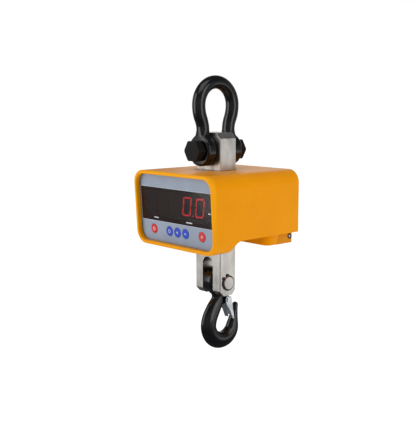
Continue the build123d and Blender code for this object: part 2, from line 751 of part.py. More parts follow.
PIECES = {
    "shackle_bow": shackle_bow,
    "shackle_bolt": shackle_bolt,
    "shackle_nut": shackle_nut,
    "bolt_lock_pin": bolt_lock_pin,
    "load_cell": load_cell,
    "gauge_covers": gauge_covers,
    "strain_gauges": strain_gauges,
    "hook_pin": hook_pin,
    "hook_pin_circlips": hook_pin_circlips,
    "housing_shell": housing_shell,
    "base_floor": base_floor,
    "rear_cover": rear_cover,
    "rear_cover_screws": rear_cover_screws,
    "top_seal": top_seal,
    "bottom_seal": bottom_seal,
    "mounting_brackets": mounting_brackets,
    "bracket_screws": bracket_screws,
    "overlay_film": overlay_film,
    "front_plate": front_plate,
    "panel_gasket": panel_gasket,
    "display_window": display_window,
    "display_board": display_board,
    "status_led": status_led,
    "tact_switches": tact_switches,
    "key_board": key_board,
    "board_spacers": board_spacers,
    "main_board": main_board,
    "board_parts": board_parts,
    "main_board_posts": main_board_posts,
    "signal_cable": signal_cable,
    "battery_nose": battery_nose,
    "battery_rails": battery_rails,
    "battery_pack": battery_pack,
    "battery_cells": battery_cells,
    "charge_socket": charge_socket,
    "battery_contacts": battery_contacts,
    "hook": hook,
    "latch_pin": latch_pin,
    "hook_latch": hook_latch,
    "latch_spring": latch_spring,
}

for node, make in PIECES.items():
    save(make(), node)
for number, x in enumerate(DIGIT_X, 1):
    save(led_digit(x), f"led_digit_{number}")
for number, x in enumerate(KEY_X, 1):
    save(key_cap(x), f"key_{number}")
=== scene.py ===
from math import atan, cos, radians, sin, tan

import bpy
import numpy as np
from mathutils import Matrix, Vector


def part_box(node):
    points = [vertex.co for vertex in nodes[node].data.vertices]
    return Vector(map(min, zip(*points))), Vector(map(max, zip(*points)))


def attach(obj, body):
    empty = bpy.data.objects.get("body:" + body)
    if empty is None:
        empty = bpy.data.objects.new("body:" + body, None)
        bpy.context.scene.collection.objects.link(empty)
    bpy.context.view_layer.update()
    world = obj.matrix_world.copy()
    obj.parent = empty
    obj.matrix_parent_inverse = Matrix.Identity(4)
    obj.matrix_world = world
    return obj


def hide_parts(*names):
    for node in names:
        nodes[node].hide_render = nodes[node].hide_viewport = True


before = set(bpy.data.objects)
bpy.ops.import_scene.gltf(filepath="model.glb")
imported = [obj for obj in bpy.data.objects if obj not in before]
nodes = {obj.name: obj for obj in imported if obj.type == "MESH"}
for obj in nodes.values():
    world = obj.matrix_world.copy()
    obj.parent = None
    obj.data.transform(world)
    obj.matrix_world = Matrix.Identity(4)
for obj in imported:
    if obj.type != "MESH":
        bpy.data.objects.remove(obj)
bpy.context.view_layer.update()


# ---------------------------------------------------------------- load cell block
# One milled bar of alloy steel that carries the whole load, from the shackle bolt down to the hook pin.
# It is ground, then nickel plated, so it shows a fine upright grain and faint cloudy patches; a painted
# highlight lightens its upright edges.

MM = 0.001
NICKEL = (0.66, 0.645, 0.615, 1)
NICKEL_SHADE = (0.46, 0.445, 0.42, 1)
# Pale colour painted on the block's upright edges as a highlight.
NICKEL_EDGE_HIGHLIGHT = (0.90, 0.89, 0.87, 1)
BLOCK_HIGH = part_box("load_cell")[1]


class Shade:
    """A socket in a material's node tree. Sums, products and powers of it add Math nodes to that tree."""

    def __init__(self, tree, socket=None):
        self.tree = tree
        self.socket = socket

    def node(self, kind, feeds=None, out=0, stops=(), **settings):
        """Adds a node: settings and ramp stops, then sockets from values or shades. Gives its output out."""
        made = self.tree.nodes.new("ShaderNode" + kind)
        for name, value in settings.items():
            setattr(made, name, value)
        for index, (place, colour) in enumerate(stops):
            ramp = made.color_ramp.elements
            element = ramp[index] if index < 2 else ramp.new(place)
            element.position = place
            element.color = colour
        for key, value in (feeds or {}).items():
            if isinstance(value, Shade):
                self.tree.links.new(value.socket, made.inputs[key])
            else:
                made.inputs[key].default_value = value
        return Shade(self.tree, made.outputs[out] if len(made.outputs) else None)

    def math(self, operation, first, second=0.0):
        return self.node("Math", {0: first, 1: second}, operation=operation)

    def __add__(self, other):
        return self.math("ADD", self, other)

    def __sub__(self, other):
        return self.math("SUBTRACT", self, other)

    def __rsub__(self, other):
        return self.math("SUBTRACT", other, self)

    def __mul__(self, other):
        return self.math("MULTIPLY", self, other)

    def __abs__(self):
        return self.math("ABSOLUTE", self)

    __radd__ = __add__
    __rmul__ = __mul__


def finish(name, recipe, **fixed):
    """A material of one Principled shader. recipe(point) gives the sockets that vary over the surface, from
    object coordinates in metres, and fixed gives the sockets that are the same all over."""
    material = bpy.data.materials.new(name)
    material.use_nodes = True
    material.node_tree.nodes.clear()
    point = Shade(material.node_tree).node("TexCoord", out="Object")
    feeds = {key.replace("_", " ").title().replace("Ior", "IOR"): value for key, value in fixed.items()}
    feeds.update(recipe(point))
    shader = point.node("BsdfPrincipled", feeds)
    point.node("OutputMaterial", {"Surface": shader})
    return material


def axis(point, index):
    """One coordinate of the point, in metres."""
    return point.node("SeparateXYZ", {"Vector": point}, out=index)


def cloud(point, size, stretch=(1, 1, 1), detail=2.0):
    """Soft noise from 0 to 1 whose patches are about size metres wide, times stretch along each axis."""
    scaled = point.node("Mapping", {"Vector": point, "Scale": tuple(1 / s for s in stretch)})
    return point.node("TexNoise", {"Vector": scaled, "Scale": 1 / size, "Detail": detail})


def ramped(value, low, high, to_low=0.0, to_high=1.0):
    """Smooth step of value between low and high, from to_low to to_high."""
    feeds = {"Value": value, "From Min": low, "From Max": high, "To Min": to_low, "To Max": to_high}
    return value.node("MapRange", feeds, interpolation_type="SMOOTHSTEP")


def mixed(factor, first, second):
    """Colour that goes from first to second as factor goes from 0 to 1."""
    return factor.node("Mix", {0: factor, 6: first, 7: second}, out=2, data_type="RGBA")


def bumped(height, depth, strength=1.0):
    """Normal of a surface whose relief is height, from 0 to 1, times depth metres."""
    return height.node("Bump", {"Height": height, "Distance": depth, "Strength": strength})


def dress(material, *names):
    """Gives CAD nodes this material."""
    for name in names:
        for place in nodes[name].material_slots:
            place.material = material


def plated_steel(point):
    """Grain is noise drawn out along Z; the painted edge highlight is where both X and Y come near the
    block's faces.
    """
    grain = cloud(point, 0.35 * MM, stretch=(1, 1, 40), detail=3.0)
    patches = cloud(point, 16 * MM, stretch=(1, 1, 1.8), detail=3.0)
    near_x = ramped(abs(axis(point, 0)), BLOCK_HIGH.x - 1.7 * MM, BLOCK_HIGH.x - 0.7 * MM)
    near_y = ramped(abs(axis(point, 1)), BLOCK_HIGH.y - 1.7 * MM, BLOCK_HIGH.y - 0.7 * MM)
    # Painted highlight: the base colour turns pale along the block's upright edges.
    painted_edge_highlight = near_x * near_y
    tone = ramped(patches, 0.32, 0.68) * 0.75 + grain * 0.25
    colour = mixed(tone, NICKEL_SHADE, NICKEL)
    return {
        "Base Color": mixed(painted_edge_highlight * 0.8, colour, NICKEL_EDGE_HIGHLIGHT),
        "Roughness": 0.23 + grain * 0.16 + patches * 0.10,
        "Normal": bumped(grain, 0.02 * MM, 0.5),
    }


nickel = finish("nickel_plate", plated_steel, metallic=1.0)
dress(nickel, "load_cell", "gauge_covers")


# ---------------------------------------------------------------- strain gauges
# Four foil gauges bonded in pairs to the thin web at the bottom of the block's pockets, under the covers.
# Each is an etched foil grid on an amber film.

FOIL = (0.72, 0.47, 0.20, 1)
FOIL_FILM = (0.42, 0.20, 0.05, 1)


def foil_grid(point):
    """Stripes along Z, from a wave on X, show foil between film."""
    wave = point.node("TexWave", {"Vector": point, "Scale": 320.0}, out=1, bands_direction="X")
    lines = ramped(wave, 0.4, 0.6)
    return {"Base Color": mixed(lines, FOIL_FILM, FOIL), "Roughness": 0.55 - lines * 0.2, "Metallic": lines}


dress(finish("gauge_foil", foil_grid), "strain_gauges")


# ---------------------------------------------------------------- shackle bow
# A drop-forged anchor shackle: round bar bent to a bow, whose two legs swell into flat eyes for the bolt.
# It is dipped in thick gloss black enamel, which softens every edge and pools in shallow waves.

ENAMEL = (0.0022, 0.0023, 0.0028, 1)
ENAMEL_WORN = (0.007, 0.007, 0.008, 1)
BAR_R = 10.45
BOW_R = 36.0
LEG_Y = 28.0
BEND_R = 52.0
BEND_TURN = radians(22.62)
EAR_R = 24.5
EAR_MID_Y = 27.45
EAR_HALF_T = 9.55
EAR_EDGE_R = 4.5
PIN_Z = -96.3
EAR_START = (52.0, 38.0)
CORNER_RUN = (38.0, 16.0)
RING_POINTS = 80
STEPS = 40


def fade(value, start, end):
    """Smooth step from 0 at start to 1 at end, for whole arrays."""
    t = np.clip((value - start) / (end - start), 0, 1)
    return t * t * (3 - 2 * t)


def rounded_ring(half_x, half_n, corner):
    """Sections in the plane of X and the path's normal. A point at turn t is the corner's centre plus corner
    times (cos t, sin t), and the centre slides across a flat where t passes a quarter turn."""
    turn = (np.arange(RING_POINTS) + 0.5) * 2 * np.pi / RING_POINTS
    across, along = np.cos(turn), np.sin(turn)
    slide_x = np.clip(4 * across, -1, 1)
    slide_n = np.clip(4 * along, -1, 1)
    x = slide_x * (half_x - corner)[:, None] + across * corner[:, None]
    n = slide_n * (half_n - corner)[:, None] + along * corner[:, None]
    return x, n


def place_rings(centre, normal, x, n):
    """Points in millimetres: centre in Y and Z, plus x along X, plus n along the normal in the YZ plane."""
    y = centre[:, 0, None] + n * normal[:, 0, None]
    z = centre[:, 1, None] + n * normal[:, 1, None]
    return np.stack([x, y, z], axis=-1)


def tube(rings, closed=False):
    """(points, faces) of a surface through rings, shaped (stations, around, 3). Quads join neighbours round
    and along. A closed path joins its last ring to its first; an open one is capped by fans to ring means."""
    stations, around, _ = rings.shape
    points = rings.reshape(-1, 3)
    runs = stations if closed else stations - 1
    this = (np.arange(runs) * around)[:, None]
    that = ((np.arange(runs) + 1) % stations * around)[:, None]
    here = np.arange(around)[None, :]
    after = (here + 1) % around
    faces = np.stack([this + here, this + after, that + after, that + here], axis=-1).reshape(-1, 4).tolist()
    if not closed:
        points = np.concatenate([points, rings[[0, -1]].mean(axis=1)])
        low, high = len(points) - 2, len(points) - 1
        last = (stations - 1) * around
        edge, follow = here[0], after[0]
        faces += np.stack([follow, edge, np.full(around, low)], axis=-1).tolist()
        faces += np.stack([last + edge, last + follow, np.full(around, high)], axis=-1).tolist()
    return points, faces


def outward(points, faces):
    """The faces, turned round if the volume they enclose comes out negative."""
    corners = np.array([face[:3] for face in faces] + [[f[0], f[2], f[3]] for f in faces if len(f) == 4])
    a, b, c = points[corners[:, 0]], points[corners[:, 1]], points[corners[:, 2]]
    volume = np.einsum("ij,ij->i", a, np.cross(b, c)).sum()
    return faces if volume > 0 else [face[::-1] for face in faces]


def piece(name, surfaces, material, body, crease=180.0):
    """One object at the origin, from closed surfaces in millimetres, that rides on a body. Edges that turn
    more than crease degrees stay sharp."""
    points, faces, count = [], [], 0
    for surface_points, surface_faces in surfaces:
        faces += [[count + i for i in face] for face in outward(surface_points, surface_faces)]
        points.append(surface_points)
        count += len(surface_points)
    mesh = bpy.data.meshes.new(name)
    mesh.from_pydata((np.concatenate(points) * MM).tolist(), [], faces)
    mesh.materials.append(material)
    mesh.shade_smooth()
    mesh.set_sharp_from_angle(angle=radians(crease))
    made = bpy.data.objects.new(name, mesh)
    bpy.context.scene.collection.objects.link(made)
    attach(made, body)
    return made


def leg_path():
    """Centre line of the rear half, from the bottom of the eye to the crown, as (y, z) and unit normals that
    point away from the inside of the bow: a straight run, two opposite arcs, then a quarter of the crown."""
    shoulder_z = BAR_R - BOW_R
    knee_z = shoulder_z - 2 * BEND_R * sin(BEND_TURN)
    low_z = PIN_Z - EAR_R
    sweep = np.linspace(0, np.pi / 2, STEPS)
    low = low_z + 0.02 + 2 * EAR_R * (1 - np.cos(sweep))
    straight = np.concatenate([low, np.linspace(low[-1], knee_z, STEPS)[1:]])
    turn = np.linspace(0, BEND_TURN, STEPS)[1:]
    back = turn[::-1][1:]
    back = np.append(back, 0)
    crown = np.linspace(0, np.pi / 2, 2 * STEPS)[1:]
    y = [np.full(len(straight), LEG_Y), LEG_Y + BEND_R * (1 - np.cos(turn))]
    z = [straight, knee_z + BEND_R * np.sin(turn)]
    y += [BOW_R - BEND_R * (1 - np.cos(back)), BOW_R * np.cos(crown)]
    z += [shoulder_z - BEND_R * np.sin(back), shoulder_z + BOW_R * np.sin(crown)]
    tilt = np.concatenate([np.zeros(len(straight)), -turn, -back, crown])
    centre = np.stack([np.concatenate(y), np.concatenate(z)], axis=-1)
    normal = np.stack([np.cos(tilt), np.sin(tilt)], axis=-1)
    return centre, normal


def bow_surface():
    """The bar's round section carried along the bow. Towards the eye the half width is the fourth-power mean
    of the bar's radius and the eye's chord, the section flattens, and its rim is rounded at the bottom."""
    centre, normal = leg_path()
    on_leg = centre[:, 1] < BAR_R - BOW_R
    above = np.where(on_leg, centre[:, 1] - PIN_Z, 200.0)
    chord = np.sqrt(np.clip(EAR_R**2 - above**2, 0, None))
    bar = BAR_R * fade(above, -6, 14)
    half_x = (bar**4 + chord**4) ** 0.25
    eye = 1 - fade(above, EAR_START[1], EAR_START[0])
    half_n = BAR_R + (EAR_HALF_T - BAR_R) * eye
    centre[:, 0] += (EAR_MID_Y - LEG_Y) * eye
    sharpened = 1 - fade(above, CORNER_RUN[1], CORNER_RUN[0])
    corner = np.minimum(half_n, BAR_R + (EAR_EDGE_R - BAR_R) * sharpened)
    rim = np.clip(EAR_EDGE_R - (above + EAR_R), 0, EAR_EDGE_R)
    half_n = half_n - EAR_EDGE_R + np.sqrt(EAR_EDGE_R**2 - rim**2)
    corner = np.minimum(np.minimum(corner, half_x), half_n)
    rings = place_rings(centre, normal, *rounded_ring(half_x, half_n, corner))
    front = rings * np.array([1, -1, 1])
    return tube(np.concatenate([front, rings[::-1][1:]]))


def dipped_enamel(point):
    """Long shallow waves and a fine orange peel in the enamel, with dull scuffs where clouds run high."""
    waves = cloud(point, 7 * MM)
    peel = cloud(point, 1.1 * MM)
    scuffs = ramped(cloud(point, 5 * MM, detail=6.0), 0.60, 0.74)
    return {
        "Base Color": mixed(scuffs, ENAMEL, ENAMEL_WORN),
        "Roughness": 0.16 + scuffs * 0.12 + waves * 0.08,
        "Normal": bumped(waves * 0.8 + peel * 0.2, 0.22 * MM, 0.45),
    }


enamel = finish("black_enamel", dipped_enamel, coat_weight=0.12, coat_roughness=0.06, specular_ior_level=0.35)
bow = piece("bow_forging", [bow_surface()], enamel, "shackle")
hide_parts("shackle_bow")


# ---------------------------------------------------------------- shackle bolt, nut and lock pin
# A hexagon bolt through both eyes and the block, held by a nut and by a ring-headed pin under the front eye.
# Bolt and nut are blackened and oiled; the lock pin is bright zinc.

OIL_BLACK = (0.005, 0.005, 0.0055, 1)
OIL_BROWN = (0.011, 0.009, 0.008, 1)
ZINC = (0.80, 0.84, 0.87, 1)
ZINC_DARK = (0.52, 0.56, 0.61, 1)


def blackened(point):
    """Thin black oxide over a forged skin: brownish clouds and small pits."""
    clouds = cloud(point, 9 * MM, detail=4.0)
    pits = cloud(point, 0.9 * MM, detail=4.0)
    return {
        "Base Color": mixed(clouds, OIL_BLACK, OIL_BROWN),
        "Roughness": 0.34 + clouds * 0.16,
        "Normal": bumped(pits, 0.10 * MM, 0.4),
    }


def zinc_plate(point):
    """Pale blue-grey passivated zinc with drawn-out dull streaks."""
    streaks = cloud(point, 1.4 * MM, stretch=(1, 1, 6), detail=4.0)
    blots = ramped(cloud(point, 6 * MM, detail=3.0), 0.35, 0.7)
    return {
        "Base Color": mixed(streaks * 0.6 + blots * 0.4, ZINC, ZINC_DARK),
        "Roughness": 0.20 + blots * 0.18,
        "Normal": bumped(streaks, 0.04 * MM, 0.5),
    }


dress(finish("blackened_bolt", blackened, specular_ior_level=0.08), "shackle_bolt", "shackle_nut")
zinc = finish("bright_zinc", zinc_plate, metallic=1.0)
dress(zinc, "bolt_lock_pin", "bracket_screws", "rear_cover_screws")


# ---------------------------------------------------------------- housing, floor and rear cover
# A rounded box shell with a thick front rim, a bent floor sheet and a flat rear cover.
# All three have the same gloss amber powder coat, with a fine orange peel and a painted highlight that
# lightens the front rim.

AMBER = (0.60, 0.222, 0.0008, 1)
AMBER_DEEP = (0.575, 0.208, 0.0008, 1)
# Lighter amber painted on the front rim as a highlight.
AMBER_RIM_HIGHLIGHT = (0.80, 0.38, 0.012, 1)
AMBER_SHEEN = (1.0, 0.52, 0.02, 1)
RIM_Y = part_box("housing_shell")[0].y


def powder_coat(point):
    """Large faint clouds of depth, a fine peel in relief, and a painted highlight of lighter amber along the
    front rim.
    """
    depth = cloud(point, 45 * MM, detail=3.0)
    peel = cloud(point, 1.6 * MM, detail=2.0)
    specks = cloud(point, 0.5 * MM, detail=1.0)
    # Painted highlight: the colour is mixed towards a lighter amber within about 12 mm of the front rim.
    rim = 1 - ramped(axis(point, 1), RIM_Y + 3 * MM, RIM_Y + 12 * MM)
    colour = mixed(ramped(depth, 0.3, 0.7), AMBER_DEEP, AMBER)
    return {
        "Base Color": mixed(rim * 0.35, colour, AMBER_RIM_HIGHLIGHT),
        "Roughness": 0.25 + peel * 0.10 + depth * 0.05,
        "Normal": bumped(peel * 0.85 + specks * 0.15, 0.10 * MM, 0.35),
    }


coat = finish("amber_powder_coat", powder_coat, specular_ior_level=0.15, specular_tint=AMBER_SHEEN)
dress(coat, "housing_shell", "base_floor", "rear_cover")


# ---------------------------------------------------------------- neck seals and brackets
# Rubber collars close the two holes where the block passes through the housing.
# Inside, two steel angles screwed to the block hang the housing from it.

RUBBER = (0.018, 0.018, 0.019, 1)
RUBBER_DUST = (0.050, 0.048, 0.046, 1)


def moulded_rubber(point):
    """Matt black with pale dust in the clouds and a faint pebbled skin."""
    dust = ramped(cloud(point, 7 * MM, detail=5.0), 0.45, 0.8)
    pebble = point.node("TexVoronoi", {"Vector": point, "Scale": 1100.0})
    return {
        "Base Color": mixed(dust, RUBBER, RUBBER_DUST),
        "Roughness": 0.62 + dust * 0.2,
        "Normal": bumped(pebble, 0.06 * MM, 0.4),
    }


rubber = finish("black_rubber", moulded_rubber)
dress(rubber, "top_seal", "bottom_seal")
dress(nickel, "mounting_brackets")


# ---------------------------------------------------------------- front plate, gasket and film
# A thin aluminium plate behind a foam gasket carries the printed polyester film that faces the user.
# The film is satin grey-blue, with round holes for the buttons and a wide slot for the window.

FILM = (0.215, 0.255, 0.325, 1)
FILM_DARK = (0.195, 0.232, 0.298, 1)
PLATE = (0.62, 0.63, 0.64, 1)
PLATE_DARK = (0.45, 0.46, 0.47, 1)


def printed_film(point):
    """Fine velvet texture of the film in relief, over a very faint mottle in the print."""
    mottle = cloud(point, 30 * MM, detail=3.0)
    velvet = cloud(point, 0.35 * MM, detail=2.0)
    return {
        "Base Color": mixed(ramped(mottle, 0.3, 0.7), FILM_DARK, FILM),
        "Roughness": 0.36 + velvet * 0.14,
        "Normal": bumped(velvet, 0.03 * MM, 0.5),
    }


def rolled_plate(point):
    """Mill finish: rolling lines drawn out along X."""
    lines = cloud(point, 0.4 * MM, stretch=(50, 1, 1), detail=3.0)
    return {
        "Base Color": mixed(lines, PLATE_DARK, PLATE),
        "Roughness": 0.28 + lines * 0.2,
        "Normal": bumped(lines, 0.02 * MM, 0.5),
    }


aluminium = finish("rolled_aluminium", rolled_plate, metallic=1.0)
dress(aluminium, "front_plate")
dress(rubber, "panel_gasket")
dress(finish("printed_film", printed_film), "overlay_film")


# ---------------------------------------------------------------- display window and its printed line
# A strip of smoked acrylic that hides the unlit digits. It is dark brown by eye and lets red light through.
# The film's cut edge round it shows as a thin pale line.

SMOKE = (0.020, 0.0125, 0.012, 1)
SMOKE_PALE = (0.024, 0.0150, 0.014, 1)
PALE_LINE = (0.52, 0.56, 0.62, 1)
PALE_LINE_DARK = (0.44, 0.48, 0.54, 1)
LEAN = atan(0.06)
PANEL_EDGE_Y = -94.7
PANEL_TOP_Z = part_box("housing_shell")[1].z / MM
FILM_Y = 8.6
BAND_HALF_X = 86.9
BAND_TOP = -26.4
BAND_LOW = -80.8
LINE_INSET = 0.9
LINE_CORNER_R = 0.7
LINE_W = 0.45


def on_panel(points):
    """Points given as right, depth and height on the leaning front face, turned and moved into place."""
    x, depth, height = points[..., 0], points[..., 1], points[..., 2]
    y = PANEL_EDGE_Y + depth * cos(LEAN) - height * sin(LEAN)
    z = PANEL_TOP_Z + depth * sin(LEAN) + height * cos(LEAN)
    return np.stack([x, y, z], axis=-1)


def ribbon(line, width, front, back, closed=False):
    """Flat bar along a line of (x, height) points: each station is a rectangle across the line, width wide,
    from depth front to depth back."""
    ahead = np.roll(line, -1, axis=0) if closed else np.concatenate([line[1:], line[-1:]])
    behind = np.roll(line, 1, axis=0) if closed else np.concatenate([line[:1], line[:-1]])
    run = ahead - behind
    run = run / np.linalg.norm(run, axis=1, keepdims=True)
    side = np.stack([-run[:, 1], run[:, 0]], axis=-1) * width / 2
    left, right = line + side, line - side
    corners = [(left, front), (right, front), (right, back), (left, back)]
    rings = np.stack([np.insert(edge, 1, depth, axis=1) for edge, depth in corners], axis=1)
    return tube(on_panel(rings), closed)


def arc_line(x, height, radius, start, end, count=40):
    """Points on an arc from turn start to turn end, in degrees, with the first turn pointing right."""
    turn = np.radians(np.linspace(start, end, count))
    return np.stack([x + radius * np.cos(turn), height + radius * np.sin(turn)], axis=-1)


def window_line():
    """Slim frame round the window: four straight runs joined by quarter arcs."""
    inset = LINE_INSET
    corners = [
        (BAND_HALF_X - inset, BAND_TOP - inset, 0), (inset - BAND_HALF_X, BAND_TOP - inset, 90),
        (inset - BAND_HALF_X, BAND_LOW + inset, 180), (BAND_HALF_X - inset, BAND_LOW + inset, 270),
    ]
    line = np.concatenate([arc_line(x, v, LINE_CORNER_R, start, start + 90, 8) for x, v, start in corners])
    return ribbon(line, LINE_W, FILM_Y - 0.04, FILM_Y + 0.01, closed=True)


def smoked_acrylic(point):
    """Nearly clear of texture: faint wiping smears change its gloss."""
    smears = cloud(point, 9 * MM, stretch=(5, 1, 1), detail=3.0)
    return {"Base Color": mixed(smears, SMOKE, SMOKE_PALE), "Roughness": 0.10 + smears * 0.06}


def screen_ink(pale, dark):
    """Recipe of a printed ink with a slightly uneven lay."""
    def lay(point):
        uneven = cloud(point, 0.6 * MM, detail=3.0)
        return {"Base Color": mixed(uneven, pale, dark), "Roughness": 0.45 + uneven * 0.1}
    return lay


dress(finish("smoked_acrylic", smoked_acrylic, alpha=0.5), "display_window")
pale_ink = finish("pale_line_ink", screen_ink(PALE_LINE, PALE_LINE_DARK))
piece("window_line", [window_line()], pale_ink, "scale", crease=40)


# ---------------------------------------------------------------- LED digits
# Five black seven-segment modules stand behind the window. Clear epoxy fills their slanted slots.
# The last two show 0.0, so their segments glow red; the others stay dark.

RED_GLOW = (0.95, 0.03, 0.035, 1)
RED_GLOW_DEEP = (0.80, 0.02, 0.03, 1)
RED_PIPE = (0.5, 0.01, 0.015, 1)
DARK_EPOXY = (0.020, 0.015, 0.015, 1)
DEEP_EPOXY = (0.016, 0.012, 0.012, 1)
MODULE_BLACK = (0.012, 0.012, 0.013, 1)
MODULE_GREY = (0.020, 0.020, 0.021, 1)
DIGIT_V = -51.5
DIGIT_HALF = (8.45, 13.7)
SEGMENT_W = 2.6
SEGMENT_SIDE_GAP = 0.05
SEGMENT_END_GAP = 0.65
DIGIT_SLANT = tan(radians(10.0))
DIGIT_FACE = FILM_Y + 3.0
POINT_SHIFT = 12.7
POINT_R = 1.25
FILL_TOP = 0.08
FILL_LOW = 0.9
LIT = {4: "abcdefp", 5: "abcdef"}


def digit_bars(x):
    """The seven bars and the point of one digit, as {letter: outline of (x, height) points}. A bar is a strip
    pointed at both ends; every point slides right by its height times the slant."""
    half_w, half_h = DIGIT_HALF
    tip = SEGMENT_W / 2 - SEGMENT_SIDE_GAP
    places = {
        "a": (0, half_h, False), "g": (0, 0, False), "d": (0, -half_h, False),
        "f": (-half_w, half_h / 2, True), "e": (-half_w, -half_h / 2, True),
        "b": (half_w, half_h / 2, True), "c": (half_w, -half_h / 2, True),
    }
    bars = {}
    for letter, (u, v, upright) in places.items():
        half = (half_h if upright else 2 * half_w) / 2 - SEGMENT_END_GAP
        along = np.array([-half, tip - half, half - tip, half, half - tip, tip - half])
        across = np.array([0, tip, tip, 0, -tip, -tip])
        du, dv = (across, along) if upright else (along, across)
        height = v + dv
        bars[letter] = np.stack([x + u + du + height * DIGIT_SLANT, DIGIT_V + height], axis=-1)
    bars["p"] = arc_line(x + POINT_SHIFT, DIGIT_V - half_h, POINT_R, 0, 345, 24)
    return bars


def epoxy_fill(outline):
    """Prism on the outline, from just under the module's face down to just above the slot's bottom."""
    ends = [np.insert(outline, 1, DIGIT_FACE + depth, axis=1) for depth in (FILL_TOP, FILL_LOW)]
    return tube(on_panel(np.stack(ends)))


def glow(point):
    """Even red with slightly hotter middles, as a lit light pipe shows."""
    hot = cloud(point, 2.5 * MM, detail=1.0)
    return {"Base Color": RED_PIPE, "Emission Color": mixed(hot, RED_GLOW, RED_GLOW_DEEP)}


def module_plastic(point):
    """Satin black plastic with a very fine moulded grain."""
    grain = cloud(point, 0.3 * MM, detail=2.0)
    tone = mixed(grain, MODULE_BLACK, MODULE_GREY)
    return {"Base Color": tone, "Roughness": 0.42 + grain * 0.15, "Normal": bumped(grain, 0.02 * MM, 0.5)}


lit, unlit = [], []
for number in range(1, 6):
    low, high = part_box(f"led_digit_{number}")
    for letter, outline in digit_bars((low.x + high.x) / 2 / MM).items():
        (lit if letter in LIT.get(number, "") else unlit).append(epoxy_fill(outline))
black_plastic = finish("moulded_black", module_plastic)
dress(black_plastic, *[f"led_digit_{number}" for number in range(1, 6)])
piece("lit_segments", lit, finish("red_glow", glow, emission_strength=1.9), "scale", crease=30)
epoxy = finish("dark_epoxy", screen_ink(DARK_EPOXY, DEEP_EPOXY))
piece("dark_segments", unlit, epoxy, "scale", crease=30)


# ---------------------------------------------------------------- status lamp and printed marks
# A small red lamp sits low on the left of the window. Plain white dashes printed behind the window stand
# beside the lamp, under the digits and at the right end.

LENS_RED = (0.42, 0.010, 0.012, 1)
LENS_PALE = (0.62, 0.03, 0.03, 1)
MARK_W = 1.4
INK_WHITE = (0.60, 0.60, 0.61, 1)
INK_GREY = (0.50, 0.50, 0.51, 1)
MARKS = [(-55.5, -44.5, -75.2), (22.0, 36.0, -75.6), (72.8, 78.2, -57.0)]


def lamp_lens(point):
    """Diffused red epoxy, a little paler in its clouds."""
    milk = cloud(point, 0.8 * MM, detail=2.0)
    return {"Base Color": mixed(milk, LENS_RED, LENS_PALE), "Roughness": 0.2 + milk * 0.1}


def dash(start, end, height):
    line = np.stack([np.linspace(start, end, 6), np.full(6, height)], axis=-1)
    return ribbon(line, MARK_W, FILM_Y - 0.05, FILM_Y + 0.01)


dress(finish("red_lens", lamp_lens, coat_weight=0.4), "status_led")
white_ink = finish("white_ink", screen_ink(INK_WHITE, INK_GREY))
piece("window_marks", [dash(*mark) for mark in MARKS], white_ink, "scale", crease=40)


# ---------------------------------------------------------------- push buttons
# Five round moulded caps, red at the ends and blue in the middle, each over its own switch.
# A simple white sign is printed on each cap and travels with it.

RED = (0.50, 0.006, 0.008, 1)
RED_DEEP = (0.40, 0.004, 0.006, 1)
BLUE = (0.003, 0.040, 0.42, 1)
BLUE_DEEP = (0.002, 0.030, 0.33, 1)
KEY_V = -94.0
KEY_FACE = FILM_Y - 0.6
SIGN_W = 0.75


def moulded_cap(main, deep):
    """Recipe of a gloss cap: faint flow marks in the colour and a soft sheen."""
    def cap(point):
        flow = cloud(point, 3 * MM, detail=3.0)
        skin = cloud(point, 0.4 * MM, detail=1.0)
        return {
            "Base Color": mixed(flow, main, deep),
            "Roughness": 0.28 + skin * 0.1,
            "Normal": bumped(skin, 0.015 * MM, 0.5),
        }
    return cap


def bar(x0, v0, x1, v1):
    """Straight line of points between two places."""
    return np.stack([np.linspace(x0, x1, 6), np.linspace(v0, v1, 6)], axis=-1)


SIGNS = {
    1: [(arc_line(0, -0.2, 2.5, 125, 415), False), (bar(0, 0.6, 0, 3.4), False)],
    2: [(arc_line(0, 0, 2.3, 0, 351), True)],
    3: [(bar(-2.4, 0, 2.4, 0), False), (bar(0, -2.4, 0, 2.4), False)],
    4: [(bar(-2.4, -1.3, 0, 1.5), False), (bar(0, 1.5, 2.4, -1.3), False)],
    5: [(bar(-2.0, -2.0, 2.0, 2.0), False), (bar(-2.0, 2.0, 2.0, -2.0), False)],
}
caps = {"red": finish("red_cap", moulded_cap(RED, RED_DEEP), coat_weight=0.3),
        "blue": finish("blue_cap", moulded_cap(BLUE, BLUE_DEEP), coat_weight=0.3)}
for number, lines in SIGNS.items():
    low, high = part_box(f"key_{number}")
    shift = np.array([(low.x + high.x) / 2 / MM, KEY_V])
    colour = "red" if number in (1, 5) else "blue"
    dress(caps[colour], f"key_{number}")
    front, back = KEY_FACE - 0.05, KEY_FACE + 0.02
    strokes = [ribbon(line + shift, SIGN_W, front, back, closed) for line, closed in lines]
    piece(f"key_sign_{number}", strokes, white_ink, f"button_{number}", crease=40)


# ---------------------------------------------------------------- boards, switches and wiring
# Behind the panel are the display board and the key board on brass posts; over the floor is the main board.
# A screened lead brings the gauges' signal from the block to it.

MASK_GREEN = (0.010, 0.110, 0.045, 1)
TRACE_GREEN = (0.030, 0.200, 0.085, 1)
BRASS = (0.72, 0.50, 0.19, 1)
BRASS_DULL = (0.46, 0.30, 0.12, 1)


def solder_mask(point):
    """Traces are cell borders of a Chebychev Voronoi, raised a little under green lacquer."""
    feeds = {"Vector": point, "Scale": 150.0, "Randomness": 0.65}
    cells = point.node("TexVoronoi", feeds, distance="CHEBYCHEV", feature="F1")
    traces = ramped(cells, 0.46, 0.52)
    return {
        "Base Color": mixed(traces, MASK_GREEN, TRACE_GREEN),
        "Roughness": 0.30 + traces * 0.1,
        "Normal": bumped(traces, 0.04 * MM, 0.6),
    }


